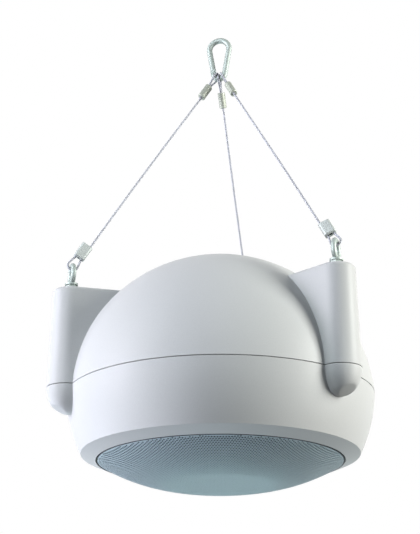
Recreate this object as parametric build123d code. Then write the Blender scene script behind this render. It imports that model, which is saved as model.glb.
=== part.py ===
from build123d import *
import math
import os

# A pendant loudspeaker: a moulded two-shell housing with three arms, hung by three wire ropes from a
# snap hook. Millimetres, +Z up, front towards -Y. Heights are counted from the plane of the housing's seam.
# The last step moves every piece down so that the origin is the inside top of the snap hook.

# Housing: its widths follow from the woofer and the parts beside it, out to a body 400 mm across
dome_height = 188.4
wall = 4.0
seam_gap = 1.1
seam_inset = 2.0
arm_count = 3
first_arm_angle = -44.3
arm_offset = 1.0
arm_width = 51.6
arm_height = 130.2
arm_draft = 1.0
arm_top_round = 5.0
nose_depth = 34.0
nose_heel = 19.0
nose_round = 6.0
side_run = 21.3
side_bulge = 4.0
bezel_width = 19.3
bezel_outer_drop = 75.7
bezel_inner_drop = 83.6
baffle_margin = 3.4
baffle_drop = 72.0
baffle_thickness = 6.0
post_inset = 7.4
post_diameter = 12.0
post_spread = 20.0

# Grille
grille_gap = 2.0
grille_sheet = 1.0
grille_disc_diameter = 145.0
grille_disc_drop = 113.1
grille_bulge = 4.1
cloth_thickness = 0.6
seal_recess = 2.5

# Screws and clearances
fit_gap = 0.05
seat_gap = 0.2
housing_screw_diameter = 4.8
housing_screw_length = 34.0
housing_screw_depth = 15.0
head_clearance = 0.5
small_screw_diameter = 4.0
small_screw_length = 14.0
head_ratio = 1.9
head_height = 2.6
edge_break = 0.8

# Woofer
frame_diameter = 210.0
frame_flange = 5.0
frame_land = 14.5
frame_screw_margin = 3.7
frame_screw_count = 8
frame_sheet = 2.5
frame_shoulder = 12.0
window_count = 6
window_width = 46.0
window_margin = 10.0
spider_deck_drop = 28.5
spider_deck_diameter = 127.0
plate_seat_drop = 16.0
plate_diameter = 100.0
top_plate_thickness = 8.0
magnet_diameter = 110.0
magnet_bore = 56.0
magnet_height = 18.0
back_plate_thickness = 8.0
pole_diameter = 37.0
pole_vent = 8.0
plate_bore = 41.2
coil_diameter = 38.2
coil_former_wall = 0.3
coil_winding_wall = 0.7
coil_winding_length = 12.0
cone_sheet = 1.0
cone_lip = 3.0
cone_neck = -38.0
surround_width = 8.5
surround_land = 6.0
surround_sheet = 0.8
spider_sheet = 0.6
spider_waves = 4
spider_wave_depth = 2.4
spider_flat = 5.0
dust_cap_diameter = 60.0
dust_cap_rise = 9.0
cap_sheet = 0.6

# Tweeter
bridge_width = 22.0
bridge_thickness = 4.0
bridge_drop = 83.0
bridge_ring = 2.0
tweeter_plate_diameter = 54.0
tweeter_plate_thickness = 3.0
tweeter_magnet_diameter = 36.0
tweeter_magnet_height = 12.0
tweeter_dome_diameter = 25.0
tweeter_dome_rise = 5.0
tweeter_roll = 2.5

# Inside the housing
bay_gap = 1.0
port_bore = 40.0
port_wall = 2.0
port_lip = 3.0
port_length = 80.0
board_margin = 5.0
board_thickness = 1.6
board_standoff = 8.0
standoff_diameter = 7.0
part_gap = 2.0
inductor_diameter = 26.0
inductor_bore = 11.0
inductor_height = 14.0
capacitor_count = 2
capacitor_diameter = 12.0
capacitor_length = 24.0
resistor_width = 7.0
resistor_length = 22.0
terminal_length = 26.0
terminal_depth = 10.0
terminal_height = 12.0
terminal_count = 3
wire_entry = 3.2
core_length = 50.0
core_height = 42.0
core_stack = 20.0
bracket_sheet = 1.2
bracket_width = 14.0
bracket_foot = 12.0
inlet_offset = 40.0
grommet_bore = 7.0
grommet_neck = 16.0
grommet_diameter = 24.0
grommet_lip = 2.6

# Eyebolts
bolt_diameter = 8.0
bolt_tail = 3.0
ring_diameter = 31.0
ring_bar = 7.0
ring_rise = 22.5
collar_diameter = 17.0
collar_height = 2.4
nut_width = 13.0
nut_height = 6.0
washer_diameter = 17.0
washer_thickness = 1.6
boss_diameter = 18.0
boss_height = 26.0
ring_turns = [71.5, 10.0, 107.0]

# Snap hook
hang_rise = 533.0
hook_bar = 8.0
hook_length = 71.0
hook_width = 37.0
hook_foot_width = 24.0
hook_turn = -14.3
gate_hinge_rise = 4.6
gate_top_rise = 35.4
gate_tongue = 3.4
gate_overlap = 3.0
gate_tip = 1.0
gate_pin_diameter = 2.8
gate_pin_head = 4.8
gate_pin_head_height = 0.7
gate_cheek = 6.6
gate_side_gap = 0.15

# Wire ropes
rope_diameter = 3.0
rope_gap = 0.1
eye_spread = 44.0
eye_slack = 1.25
eye_lift = 1.25
eye_neck = 19.0
neck_radius = 12.0
ferrule_length = 22.0
ferrule_width = 12.0
ferrule_thickness = 10.0
grip_length = 21.0
grip_width = 15.6
grip_thickness = 10.0
grip_channel_spacing = 9.0
grip_recess_diameter = 4.4
grip_recess_depth = 8.0
grip_standoff = 15.0
thimble_radius = 6.6

# Sizes that follow
frame_radius = frame_diameter / 2
opening_radius = frame_radius - frame_land
cone_radius = opening_radius - surround_width
screw_circle_radius = frame_radius - frame_screw_margin
port_radius = port_bore / 2 + port_wall
bay_radius = frame_radius + bay_gap + port_lip + port_radius
bezel_inner_radius = bay_radius + port_radius + port_lip + baffle_margin
bezel_outer_radius = bezel_inner_radius + bezel_width
body_radius = bezel_outer_radius + side_run
arm_axis_radius = body_radius + arm_offset
post_radius = bezel_inner_radius - post_inset
small_head = head_ratio * small_screw_diameter
board_width = terminal_length + 2 * part_gap + small_head + 2 * board_margin
capacitor_pitch = capacitor_diameter + part_gap
board_length = (
    2 * board_margin + terminal_depth + capacitor_count * capacitor_pitch + inductor_diameter + 2 * part_gap
)
dome_radius = (body_radius**2 + dome_height**2) / (2 * dome_height)
dome_centre = dome_height - dome_radius
arm_step = 360 / arm_count
arm_angles = [first_arm_angle + arm_step * i for i in range(arm_count)]
arm_names = ["right", "back", "left"]
bay_angles = [angle + arm_step / 2 for angle in arm_angles]
post_angles = [bay + side * post_spread for bay in bay_angles for side in (-1, 1)]
arm_root = body_radius / 2
inlet_tilt = math.degrees(math.asin(inlet_offset / dome_radius))
baffle_top = -baffle_drop + baffle_thickness
grille_radius = bezel_inner_radius - grille_gap
flange_front = -baffle_drop - frame_flange
coil_radius = coil_diameter / 2
former_radius = coil_radius + coil_former_wall
winding_radius = former_radius + coil_winding_wall
top_plate_back = -plate_seat_drop + top_plate_thickness
magnet_back = top_plate_back + magnet_height
surround_level = flange_front + frame_sheet - surround_sheet - seat_gap
cone_rim = surround_level + surround_sheet + fit_gap
arm_top_radius = arm_width / 2 - arm_height * math.tan(math.radians(arm_draft))


def turned(points):
    """A solid of revolution about Z from an outline of (radius, height) points."""
    outline = Polyline(*points, close=True)
    return revolve(Plane.XZ * make_face(outline), Axis.Z)


def turned_edges(*edges):
    """A solid of revolution about Z from the edges of a closed outline."""
    return revolve(Plane.XZ * make_face(Curve() + list(edges)), Axis.Z)


def bulged(start, end, bulge):
    """The arc from start to end that stands bulge out to the left of its chord, seen on the way down."""
    chord = Vector(*end) - Vector(*start)
    side = Vector(-chord.Y, chord.X).normalized()
    middle = (Vector(*start) + Vector(*end)) * 0.5 + side * bulge
    return ThreePointArc(start, middle, end)


def disc(diameter, bottom, top, bore=0.0):
    """A flat round piece between two heights, with a bore where one is given."""
    low = Align.CENTER, Align.CENTER, Align.MIN
    solid = Pos(0, 0, bottom) * Cylinder(diameter / 2, top - bottom, align=low)
    if bore:
        solid -= Pos(0, 0, bottom) * Cylinder(bore / 2, top - bottom, align=low)
    return solid


def around(shape, angles):
    """Copies of a shape turned about Z to each of the angles."""
    return [Rot(0, 0, angle) * shape for angle in angles]


def fused(shape, others):
    for other in others:
        shape += other
    return shape


def cut(shape, others):
    for other in others:
        shape -= other
    return shape


def group(solids):
    return Compound(children=[s for shape in solids for s in shape.solids()])


def dome(inset):
    """The dome above the seam as a filled solid, with its surface moved in by inset."""
    radius = dome_radius - inset
    top = dome_centre + radius
    foot = math.sqrt(radius**2 - dome_centre**2)
    lean = math.radians(45)
    middle = (radius * math.cos(lean), dome_centre + radius * math.sin(lean))
    return turned_edges(
        Line((0, top), (0, 0)),
        Line((0, 0), (foot, 0)),
        ThreePointArc((foot, 0), middle, (0, top)),
    )


def arm_outline(radius):
    """The arm's plan section: a half-round outer end and two flat flanks that run in to the dome."""
    left, right = (arm_axis_radius, radius), (arm_axis_radius, -radius)
    return make_face(
        Curve()
        + [
            Line((arm_root, -radius), right),
            ThreePointArc(right, (arm_axis_radius + radius, 0), left),
            Line(left, (arm_root, radius)),
            Line((arm_root, radius), (arm_root, -radius)),
        ]
    )


def arm(inset):
    """One arm above the seam, drafted, with its skin moved in by inset."""
    solid = extrude(arm_outline(arm_width / 2 - inset), arm_height - inset, taper=arm_draft)
    if inset:
        return solid
    rim = solid.edges().group_by(Axis.Z)[-1]
    return fillet(rim, min(arm_top_round, arm_top_radius / 2))


def nose(inset):
    """The arm's end below the seam: a turned ellipse drawn in as a keel, cut to slant in to the body."""
    radius, depth = arm_width / 2 - inset, nose_depth - inset
    quarter = Ellipse(radius, depth) & Pos(radius / 2, -depth / 2) * Rectangle(radius, depth)
    half = Ellipse(radius, depth) & Pos(0, -depth / 2) * Rectangle(2 * radius, depth)
    end = Rot(0, 0, -90) * revolve(Plane.XZ * quarter, Axis.Z, 180)
    keel = extrude(Plane.YZ * half, arm_root - arm_axis_radius)
    whole = Pos(arm_axis_radius, 0, 0) * (end + keel)
    run = arm_offset + arm_width / 2
    slant = math.atan2(nose_depth - nose_heel, run)
    below = Box(4 * run, arm_width, 2 * run, align=(Align.CENTER, Align.CENTER, Align.MAX))
    lift = inset / math.cos(slant)
    solid = whole - Pos(body_radius + run, 0, lift - nose_heel) * Rot(0, -math.degrees(slant), 0) * below
    if inset:
        return solid
    rim = [e for e in solid.edges() if e.center().X > body_radius and e.center().Z < -nose_heel]
    return fillet(rim, nose_round)


def lower_body(inset):
    """The body below the seam as a filled solid, down to the baffle, with its skin moved in by inset."""
    side = Vector(-side_run, -bezel_outer_drop)
    slope = Vector(-bezel_width, bezel_outer_drop - bezel_inner_drop)
    ledge = inset if inset else 0
    corner_lift = inset / math.tan(math.radians((180 - side.get_angle(slope)) / 2))
    along = slope.normalized()
    off = Vector(slope.Y, -slope.X).normalized() * inset
    outer_corner = Vector(bezel_outer_radius, -bezel_outer_drop) + off + along * corner_lift
    inner_reach = bezel_inner_radius + ledge
    drop = (inner_reach - outer_corner.X) / along.X
    inner_corner = outer_corner + along * drop
    floor = baffle_top if inset else -baffle_drop
    top = (body_radius - inset, 0)
    outer = (outer_corner.X, outer_corner.Y)
    inner = (inner_corner.X, inner_corner.Y)
    return turned_edges(
        Line((0, 0), top),
        bulged(top, outer, side_bulge),
        Line(outer, inner),
        Line(inner, (inner[0], floor)),
        Line((inner[0], floor), (0, floor)),
        Line((0, floor), (0, 0)),
    )


def seam_slab():
    return Cylinder(2 * body_radius, seam_gap)


def inlet_place():
    """Turns a shape on the dome's axis to the cable inlet's place, square to the dome."""
    centre = Pos(0, 0, dome_centre)
    return centre * Rot(0, 0, bay_angles[1]) * Rot(0, inlet_tilt, 0) * centre.inverse()


def upper_housing():
    shell = fused(dome(0), around(arm(0), arm_angles))
    hollow = fused(dome(wall), around(arm(wall), arm_angles))
    solid = shell - hollow
    post = disc(post_diameter, 0, dome_height)
    posts = around(Pos(post_radius, 0, 0) * post, post_angles)
    solid = fused(solid, [p & dome(wall / 2) for p in posts])
    boss = disc(boss_diameter, arm_height - wall - boss_height, arm_height - wall / 2)
    solid = fused(solid, around(Pos(arm_axis_radius, 0, 0) * boss, arm_angles))
    bolt_hole = disc(bolt_diameter + 2 * seat_gap, 0, arm_height + wall)
    pilot_depth = housing_screw_length - housing_screw_depth + wall
    pilot = disc(housing_screw_diameter + 2 * fit_gap, 0, pilot_depth)
    holes = around(Pos(arm_axis_radius, 0, 0) * bolt_hole, arm_angles)
    holes += around(Pos(post_radius, 0, 0) * pilot, post_angles)
    inlet_hole = disc(grommet_neck + 2 * seat_gap, dome_height - 2 * wall, dome_height + wall)
    holes += [inlet_place() * inlet_hole]
    return cut(solid, holes) - seam_slab()


def lower_housing():
    shell = fused(lower_body(0), around(nose(0), arm_angles))
    hollow = fused(lower_body(wall), around(nose(wall), arm_angles))
    solid = shell - hollow
    posts = around(Pos(post_radius, 0, 0) * disc(post_diameter, baffle_top, 0), post_angles)
    solid = fused(solid, posts)
    standoff = disc(standoff_diameter, baffle_top, baffle_top + board_standoff)
    solid = fused(solid, [place * standoff for place in board_corners()])
    well_diameter = head_ratio * housing_screw_diameter + 2 * head_clearance
    well = disc(well_diameter, -baffle_drop, -housing_screw_depth)
    shank_hole = disc(housing_screw_diameter + 4 * seat_gap, -housing_screw_depth, 0)
    pilot_diameter = small_screw_diameter + 2 * fit_gap
    pilot = disc(pilot_diameter, -baffle_drop, baffle_top)
    board_pilot = disc(pilot_diameter, baffle_top, baffle_top + board_standoff)
    holes = around(Pos(post_radius, 0, 0) * (well + shank_hole), post_angles)
    holes += around(Pos(screw_circle_radius, 0, 0) * pilot, frame_screw_angles())
    holes += [place * board_pilot for place in board_corners()]
    holes += [place * pilot for place in bracket_feet()]
    holes += [disc(2 * (opening_radius + frame_sheet + seat_gap), -baffle_drop, baffle_top)]
    holes += [port_place() * disc(2 * (port_radius + seat_gap), -baffle_drop, baffle_top)]
    return cut(solid, holes) - seam_slab()


def seam_gasket():
    outer = fused(
        Sketch() + Circle(body_radius - seam_inset),
        around(arm_outline(arm_width / 2 - seam_inset), arm_angles),
    )
    inner = fused(
        Sketch() + Circle(body_radius - wall),
        around(arm_outline(arm_width / 2 - wall), arm_angles),
    )
    return Pos(0, 0, -seam_gap / 2) * extrude(outer - inner, seam_gap)


def frame_screw_angles():
    return [360 / frame_screw_count * i for i in range(frame_screw_count)]


def port_place():
    return Rot(0, 0, bay_angles[2]) * Pos(bay_radius, 0, 0)


def board_place():
    return Rot(0, 0, bay_angles[1]) * Pos(bay_radius, 0, baffle_top + board_standoff)


def board_corners():
    x, y = board_width / 2 - board_margin, board_length / 2 - board_margin
    middle = Rot(0, 0, bay_angles[1]) * Pos(bay_radius, 0, 0)
    return [middle * Pos(i * x, j * y, 0) for i in (-1, 1) for j in (-1, 1)]


def core_place():
    return Rot(0, 0, bay_angles[0]) * Pos(bay_radius, 0, baffle_top + bracket_sheet)


def bracket_feet():
    reach = core_length / 2 + seat_gap + bracket_sheet + bracket_foot / 2
    return [Rot(0, 0, bay_angles[0]) * Pos(bay_radius, side * reach, 0) for side in (-1, 1)]


def grille_profile(inset, rim):
    """The grille's outline from its centre to its rim, moved in by inset."""
    edge_drop = bezel_inner_drop
    disc_edge = (grille_disc_diameter / 2 - inset / 4, -grille_disc_drop + inset)
    edge = (grille_radius - inset, -edge_drop + inset / 3)
    return [
        Line((0, disc_edge[1]), disc_edge),
        bulged(edge, disc_edge, grille_bulge),
        Line(edge, (edge[0], rim)),
    ]


def pressed_sheet(outer, thickness, rim):
    """A turned sheet between two copies of the grille's outline."""
    near = grille_profile(outer, rim)
    far = grille_profile(outer + thickness, rim)
    ends = [
        Line((0, near[0].start_point().Y), (0, far[0].start_point().Y)),
        Line(near[2].end_point(), far[2].end_point()),
    ]
    return turned_edges(*near, *far, *ends)


def screw(diameter, length):
    """A pan-head screw that hangs down from its head's seat at height 0, so it points up: +Z is its tip."""
    head = disc(head_ratio * diameter, -head_height, 0)
    head = chamfer(head.edges().group_by(Axis.Z)[0], head_height / 4)
    recess = Pos(0, 0, -head_height) * Box(diameter, diameter / 5, head_height)
    recess += Pos(0, 0, -head_height) * Box(diameter / 5, diameter, head_height)
    return head + disc(diameter, 0, length) - recess


def driver_frame():
    """The woofer's pressed basket: flange, windowed cone, spider deck and magnet seat."""
    r, s = opening_radius, frame_sheet
    deck = spider_deck_diameter / 2
    seat = plate_diameter / 2 + s
    neck = magnet_bore / 2 + s
    solid = turned(
        [
            (frame_radius, flange_front),
            (frame_radius, -baffle_drop),
            (r + s, -baffle_drop),
            (r + s / 2, -baffle_drop + frame_shoulder),
            (deck + s, -spider_deck_drop - 0.8 * s),
            (deck + s, -spider_deck_drop + s),
            (seat, -spider_deck_drop + s),
            (seat, -plate_seat_drop),
            (neck, -plate_seat_drop),
            (neck, -plate_seat_drop - s),
            (seat - s, -plate_seat_drop - s),
            (seat - s, -spider_deck_drop),
            (deck, -spider_deck_drop),
            (deck, -spider_deck_drop - 1.2 * s),
            (r - s / 2, -baffle_drop + frame_shoulder - 0.8 * s),
            (r, flange_front + s),
            (r + surround_land, flange_front + s),
            (r + surround_land, flange_front),
        ]
    )
    window_height = baffle_drop - spider_deck_drop - 2 * window_margin
    outwards = Align.MIN, Align.CENTER, Align.CENTER
    window = Box(frame_radius, window_width, window_height, align=outwards)
    window = Pos(deck / 2, 0, -(baffle_drop + spider_deck_drop) / 2) * window
    holes = around(window, [360 / window_count * i for i in range(window_count)])
    screw_hole = disc(small_screw_diameter + 2 * seat_gap, flange_front, -baffle_drop)
    holes += around(Pos(screw_circle_radius, 0, 0) * screw_hole, frame_screw_angles())
    return cut(solid, holes)


def woofer_gasket():
    outer = 2 * (opening_radius + surround_land - seat_gap)
    return disc(outer, flange_front, surround_level, bore=2 * opening_radius + frame_sheet)


def woofer_cone():
    """A straight-sided paper cone with a flat lip for the surround."""
    neck = former_radius + fit_gap
    rim = cone_radius
    return turned(
        [
            (neck, cone_neck),
            (rim - cone_lip, cone_rim),
            (rim, cone_rim),
            (rim, cone_rim + cone_sheet),
            (rim - cone_lip, cone_rim + cone_sheet),
            (neck, cone_neck + cone_sheet),
        ]
    )


def woofer_surround():
    """A half-roll of rubber from the cone's rim to the frame's flange."""
    inner = cone_radius
    outer = opening_radius
    level = surround_level
    t = surround_sheet
    middle = (inner + outer) / 2
    rise = (outer - inner) / 2
    seat_end = opening_radius + surround_land - seat_gap
    return turned_edges(
        Line((inner - cone_lip, level), (inner, level)),
        ThreePointArc((inner, level), (middle, level - rise), (outer, level)),
        Line((outer, level), (seat_end, level)),
        Line((seat_end, level), (seat_end, level + t)),
        Line((seat_end, level + t), (outer - t, level + t)),
        ThreePointArc((outer - t, level + t), (middle, level - rise + t), (inner + t, level + t)),
        Line((inner + t, level + t), (inner - cone_lip, level + t)),
        Line((inner - cone_lip, level + t), (inner - cone_lip, level)),
    )


def voice_coil():
    winding_low = -plate_seat_drop + (top_plate_thickness - coil_winding_length) / 2
    return turned(
        [
            (coil_radius, cone_neck),
            (former_radius, cone_neck),
            (former_radius, winding_low),
            (winding_radius, winding_low),
            (winding_radius, winding_low + coil_winding_length),
            (coil_radius, winding_low + coil_winding_length),
        ]
    )


def woofer_spider():
    """The corrugated centring disc between the coil and the frame's deck."""
    inner = former_radius + fit_gap
    outer = spider_deck_diameter / 2 - seat_gap
    level = -spider_deck_drop - seat_gap
    start, end = inner + spider_flat, outer - spider_flat
    pitch = (end - start) / (2 * spider_waves)
    top = [(inner, level), (start, level)]
    for i in range(1, 2 * spider_waves):
        top.append((start + pitch * i, level - spider_wave_depth * (i % 2)))
    top += [(end, level), (outer, level)]
    under = [(r, z - spider_sheet) for r, z in reversed(top)]
    return turned(top + under)


def yoke():
    """Back plate and pole piece, turned as one, with a vent through the middle."""
    plate = disc(plate_diameter, magnet_back, magnet_back + back_plate_thickness)
    pole = disc(pole_diameter, -plate_seat_drop, magnet_back)
    return plate + pole - disc(pole_vent, -plate_seat_drop, magnet_back + back_plate_thickness)


def bowl(diameter, rise, thickness, level):
    """A thin round cap that bulges downwards from its open rim at a level."""
    radius = diameter / 2
    sphere = (radius**2 + rise**2) / (2 * rise)
    centre = Pos(0, 0, level + sphere - rise)
    skin = centre * Sphere(sphere) - centre * Sphere(sphere - thickness)
    return skin & disc(diameter + 1, level - rise - 1, level)


def dust_cap():
    reach = dust_cap_diameter / 2 - former_radius - fit_gap
    run = cone_radius - cone_lip - former_radius - fit_gap
    level = cone_neck + (cone_rim - cone_neck) * reach / run
    return bowl(dust_cap_diameter, dust_cap_rise, cap_sheet, level - fit_gap)


def tweeter_bridge():
    low = Align.CENTER, Align.CENTER, Align.MAX
    bar = Pos(0, 0, -bridge_drop) * Box(frame_diameter, bridge_width, bridge_thickness, align=low)
    foot_length = frame_land - surround_land
    foot_height = bridge_drop + flange_front
    foot = Pos(frame_radius - foot_length / 2, 0, -bridge_drop) * Box(
        foot_length, bridge_width, foot_height, align=(Align.CENTER, Align.CENTER, Align.MIN)
    )
    bar = fused(bar, around(foot, [0, 180]))
    ring = tweeter_plate_diameter + 2 * bridge_ring
    bar += disc(ring, -bridge_drop - bridge_thickness, -bridge_drop)
    bar = bar & disc(frame_diameter, -baffle_drop * 2, 0)
    hole = disc(tweeter_magnet_diameter + 2 * seat_gap, -baffle_drop * 2, 0)
    screw_hole = disc(small_screw_diameter + 2 * seat_gap, -baffle_drop * 2, 0)
    return cut(bar, [hole] + around(Pos(screw_circle_radius, 0, 0) * screw_hole, [0, 180]))


def tweeter_body():
    front = -bridge_drop - bridge_thickness
    bore = tweeter_dome_diameter + 2 * tweeter_roll + 2 * head_clearance
    plate = disc(tweeter_plate_diameter, front - tweeter_plate_thickness, front, bore)
    magnet = disc(tweeter_magnet_diameter, front, front + tweeter_magnet_height)
    return plate + magnet


def tweeter_dome():
    base = -bridge_drop - bridge_thickness - seat_gap
    cap = bowl(tweeter_dome_diameter, tweeter_dome_rise, cap_sheet, base)
    outer = tweeter_dome_diameter + 2 * tweeter_roll
    return cap + disc(outer, base - cap_sheet, base, bore=tweeter_dome_diameter - 2 * cap_sheet)


def transformer_core():
    """A stack of E and I laminations: a block with two windows beside the middle leg."""
    bottom = Align.CENTER, Align.CENTER, Align.MIN
    leg = core_length / 6
    block = Box(core_stack, core_length, core_height, align=bottom)
    window = Pos(0, 0, leg) * Box(core_stack, leg, core_height - 2 * leg, align=bottom)
    return core_place() * cut(block, [Pos(0, side * leg * 1.5, 0) * window for side in (-1, 1)])


def transformer_coil():
    bottom = Align.CENTER, Align.CENTER, Align.MIN
    leg = core_length / 6
    height = core_height - 2 * leg - 2 * seat_gap
    solid = Box(core_stack + 2 * leg, 4 * leg - 2 * seat_gap, height, align=bottom)
    solid = fillet(solid.edges().filter_by(Axis.Z), leg / 3)
    solid -= Box(core_stack + 2 * seat_gap, 2 * leg + 2 * seat_gap, height, align=bottom)
    return core_place() * Pos(0, 0, leg + seat_gap) * solid


def transformer_bracket():
    """A bent strap over the core with a foot on each side."""
    bottom = Align.CENTER, Align.CENTER, Align.MIN
    t, gap = bracket_sheet, seat_gap
    height = core_height + t + gap
    strap = Box(bracket_width, core_length + 2 * (t + gap), height + t, align=bottom)
    strap -= Box(bracket_width, core_length + 2 * gap, height, align=bottom)
    foot = Box(bracket_width, bracket_foot, t, align=bottom)
    foot = Pos(0, core_length / 2 + gap + t + bracket_foot / 2, 0) * foot
    strap = fused(strap, around(foot, [0, 180]))
    solid = Rot(0, 0, bay_angles[0]) * Pos(bay_radius, 0, baffle_top) * strap
    hole = disc(small_screw_diameter + 2 * seat_gap, baffle_top - t, baffle_top + 2 * t)
    return cut(solid, [place * hole for place in bracket_feet()])


def core_base():
    """The sheet's thickness of spacer that the core stands on, moulded as two rails on its lower side."""
    bottom = Align.CENTER, Align.CENTER, Align.MIN
    rail = Box(core_stack, core_length / 6, bracket_sheet, align=bottom)
    place = Rot(0, 0, bay_angles[0]) * Pos(bay_radius, 0, baffle_top)
    return [place * Pos(0, side * core_length / 3, 0) * rail for side in (-1, 1)]


def crossover_board():
    bottom = Align.CENTER, Align.CENTER, Align.MIN
    board = board_place() * Box(board_width, board_length, board_thickness, align=bottom)
    hole = disc(small_screw_diameter + 2 * seat_gap, baffle_top, baffle_top + 2 * board_standoff)
    return cut(board, [place * hole for place in board_corners()])


def on_board(x, y, shape):
    return board_place() * Pos(x, y, board_thickness) * shape


# Places on the board, counted from its end with the terminal block
terminal_y = board_length / 2 - board_margin - terminal_depth / 2
capacitor_y = [
    terminal_y - terminal_depth / 2 + capacitor_diameter / 2 - capacitor_pitch * (i + 1)
    for i in range(capacitor_count)
]
inductor_x = (inductor_diameter + part_gap - board_width) / 2
inductor_y = capacitor_y[-1] - capacitor_diameter / 2 - part_gap - inductor_diameter / 2
resistor_x = (inductor_x + inductor_diameter / 2 + board_width / 2) / 2


def inductor():
    ring = disc(inductor_diameter, 0, inductor_height, bore=inductor_bore)
    return on_board(inductor_x, inductor_y, ring)


def capacitors():
    radius = capacitor_diameter / 2
    lying = Pos(0, 0, radius) * Rot(0, 90, 0) * Cylinder(radius, capacitor_length)
    return group([on_board(0, y, lying) for y in capacitor_y])


def resistor():
    bottom = Align.CENTER, Align.CENTER, Align.MIN
    body = Box(resistor_width, resistor_length, resistor_width, align=bottom)
    return on_board(resistor_x, inductor_y + part_gap, body)


def terminal_block():
    bottom = Align.CENTER, Align.CENTER, Align.MIN
    body = Box(terminal_length, terminal_depth, terminal_height, align=bottom)
    pitch = terminal_length / terminal_count
    first = -pitch * (terminal_count - 1) / 2
    entry = Pos(first, 0, terminal_height / 3) * Rot(90, 0, 0) * Cylinder(wire_entry / 2, 2 * terminal_depth)
    entries = [Pos(pitch * i, 0, 0) * entry for i in range(terminal_count)]
    return on_board(0, terminal_y, cut(body, entries))


def port_tube():
    front = -baffle_drop - port_wall
    tube = disc(2 * port_radius, front, -baffle_drop + port_length, bore=port_bore)
    lip = disc(2 * (port_radius + port_lip), front, -baffle_drop, bore=port_bore)
    return port_place() * (tube + lip)


def inlet_grommet():
    """A rubber bush high on the dome's back, with a lip on each side of the wall."""
    neck, lip = grommet_neck / 2, grommet_diameter / 2
    sag = dome_radius - math.sqrt(dome_radius**2 - lip**2)
    over = dome_height + seat_gap
    under = dome_height - wall - sag - seat_gap
    bore = grommet_bore / 2
    return inlet_place() * turned(
        [
            (bore, under - grommet_lip),
            (lip, under - grommet_lip),
            (lip, under),
            (neck, under),
            (neck, over),
            (lip, over),
            (lip - grommet_lip, over + grommet_lip),
            (bore, over + grommet_lip),
        ]
    )


def ring_centre(angle):
    return Vector(arm_axis_radius, 0, arm_height + ring_rise).rotate(Axis.Z, angle)


def eyebolt(angle, turn):
    """A forged eye on a collar, with a plain shank through the arm's top. Turn is the ring's direction."""
    seat = washer_thickness + nut_height
    collar_top = seat + collar_height
    ring_radius = (ring_diameter - ring_bar) / 2
    neck_top = ring_rise - ring_radius + ring_bar / 4
    shank_end = -wall - boss_height - washer_thickness - nut_height - bolt_tail
    collar = disc(collar_diameter, seat, collar_top)
    cone = Pos(0, 0, (collar_top + neck_top) / 2) * Cone(
        collar_diameter / 2 - edge_break, ring_bar / 2 + edge_break, neck_top - collar_top
    )
    shank = disc(bolt_diameter, shank_end, seat)
    shank = chamfer(shank.edges().group_by(Axis.Z)[0], edge_break)
    ring = Pos(0, 0, ring_rise) * Rot(90, 0, 0) * Torus(ring_radius, ring_bar / 2)
    bolt = Rot(0, 0, turn - angle) * (collar + cone + shank + ring)
    return Rot(0, 0, angle) * Pos(arm_axis_radius, 0, arm_height) * bolt


def hex_nut(bottom):
    prism = extrude(RegularPolygon(nut_width / 2, 6, major_radius=False), nut_height)
    return Pos(0, 0, bottom) * (prism - disc(bolt_diameter + 2 * fit_gap, 0, nut_height))


def washer(bottom):
    return disc(washer_diameter, bottom, bottom + washer_thickness, bore=bolt_diameter + 2 * seat_gap)


def at_arms(shape):
    return around(Pos(arm_axis_radius, 0, arm_height) * shape, arm_angles)


def arm_nuts():
    under = -wall - boss_height - washer_thickness - nut_height
    return group(at_arms(hex_nut(washer_thickness)) + at_arms(hex_nut(under)))


def arm_washers():
    under = -wall - boss_height - washer_thickness
    return group(at_arms(washer(0)) + at_arms(washer(under)))


# The snap hook lies in its own XZ plane, which hook_turn turns about Z
bow_radius = (hook_width - hook_bar) / 2
foot_radius = (hook_foot_width - hook_bar) / 2
bow_centre = Vector(0, 0, hang_rise - bow_radius + hook_bar / 2)
foot_centre = Vector(0, 0, hang_rise + hook_bar - hook_length + hook_bar / 2 + foot_radius)
leg_lean = math.asin((bow_radius - foot_radius) / (bow_centre.Z - foot_centre.Z))
leg_out = Vector(-math.cos(leg_lean), 0, -math.sin(leg_lean))
leg_up = Vector(-math.sin(leg_lean), 0, math.cos(leg_lean))
leg_foot = foot_centre + leg_out * foot_radius
leg_top = bow_centre + leg_out * bow_radius


def mirrored(point):
    return Vector(-point.X, point.Y, point.Z)


def on_gate_leg(rise):
    return leg_foot + leg_up * rise


def leg_plate(low, high, width, thickness):
    """A flat plate with round ends in the hook's plane, between two points of the gate's leg."""
    a, b = on_gate_leg(low), on_gate_leg(high)
    plane = Plane(origin=(a + b) * 0.5, x_dir=leg_up, z_dir=(0, 1, 0))
    outline = SlotCenterToCenter((b - a).length, width)
    return extrude(plane * outline, thickness / 2, both=True)


def hook_body():
    foot_bottom = foot_centre - Vector(0, 0, foot_radius)
    bow_top = bow_centre + Vector(0, 0, bow_radius)
    end = on_gate_leg(gate_top_rise + gate_side_gap)
    path = Wire(
        [
            ThreePointArc(leg_foot, foot_bottom, mirrored(leg_foot)).edge(),
            Line(mirrored(leg_foot), mirrored(leg_top)).edge(),
            ThreePointArc(mirrored(leg_top), bow_top, leg_top).edge(),
            Line(leg_top, end).edge(),
        ]
    )
    bar = sweep(Plane(origin=leg_foot, z_dir=leg_up) * Circle(hook_bar / 2), path=path)
    hinge = leg_plate(-gate_tip, gate_hinge_rise, hook_bar, gate_tongue)
    latch_low, latch_high = gate_top_rise - gate_overlap, gate_top_rise + gate_tip
    latch = leg_plate(latch_low, latch_high, hook_bar - 2 * gate_tip, gate_tongue)
    hole_plane = Plane(origin=on_gate_leg(gate_hinge_rise), z_dir=(0, 1, 0))
    hole = extrude(hole_plane * Circle(gate_pin_diameter / 2 + fit_gap), hook_bar, both=True)
    return bar + hinge + latch - hole


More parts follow.
